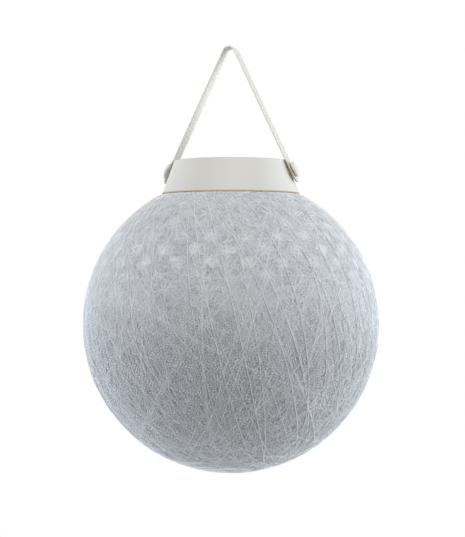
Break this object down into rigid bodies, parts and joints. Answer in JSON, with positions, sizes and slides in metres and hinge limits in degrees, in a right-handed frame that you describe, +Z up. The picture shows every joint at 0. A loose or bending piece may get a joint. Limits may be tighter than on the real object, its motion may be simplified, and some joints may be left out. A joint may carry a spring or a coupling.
{
  "type": "cotton ball lamp",
  "caption": "Cordless hanging garden lamp: a ball of stiff wound yarn under a conical collar, with an upright strap handle and a twist-in light unit.",
  "frame": {"origin": "hanging point: the underside of the strap's crown, on the lamp's axis", "axes": "+Z up along the lamp's axis, +X from the lamp's axis towards the right-hand stud, +Y away from the power button"},
  "size_m": [0.2999, 0.3, 0.433],
  "materials": {
    "yarn": "matte",
    "collar_plastic": "satin",
    "stud_plastic": "satin",
    "strap_leather": "satin",
    "unit_plastic": "satin",
    "seal_rubber": "matte",
    "button_rubber": "matte",
    "window_glass": "gloss",
    "cell_glass": "gloss",
    "board_plastic": "satin",
    "component_plastic": "matte",
    "wire_plastic": "gloss",
    "battery_steel": "gloss",
    "nickel": "satin",
    "steel": "satin",
    "aluminium_board": "satin",
    "lamp_plastic": "gloss",
    "frosted_plastic": "satin"
  },
  "bodies": {
    "lamp": {"yarn_shade": "yarn", "neck_ring": "collar_plastic", "collar": "collar_plastic", "collar_screws": "steel", "stud_left": "stud_plastic", "stud_right": "stud_plastic", "stud_spacers": "collar_plastic", "stud_washers": "steel", "stud_nuts": "steel"},
    "handle": {"handle_strap": "strap_leather"},
    "light_unit": {"unit_housing": "unit_plastic", "top_bezel": "collar_plastic", "seal_ring": "seal_rubber", "bezel_screws": "steel", "panel_window": "window_glass", "solar_cells": "cell_glass", "panel_board": "board_plastic", "panel_leads": "wire_plastic", "circuit_board": "board_plastic", "board_components": "component_plastic", "board_screws": "steel", "tact_switch": "component_plastic", "battery": "battery_steel", "battery_contacts": "nickel", "battery_door": "unit_plastic", "door_screws": "steel", "led_board": "aluminium_board", "leds": "lamp_plastic", "led_leads": "wire_plastic", "diffuser": "frosted_plastic"},
    "button": {"power_button": "button_rubber"}
  },
  "joints": [
    {"name": "handle_swing", "type": "hinge", "parent": "lamp", "child": "handle", "pos_m": [0, 0, -0.12619], "axis": [1, 0, 0], "range_deg": [-95, 95], "deforming": ["handle_strap"]},
    {"name": "light_unit_twist", "type": "hinge", "parent": "lamp", "child": "light_unit", "pos_m": [0, 0, -0.1216], "axis": [0, 0, 1], "range_deg": [0, 25]},
    {"name": "button_press", "type": "slide", "parent": "light_unit", "child": "button", "axis": [0, 0, -1], "range_m": [0, 0.001], "stiffness_N_per_m": 1500}
  ]
}
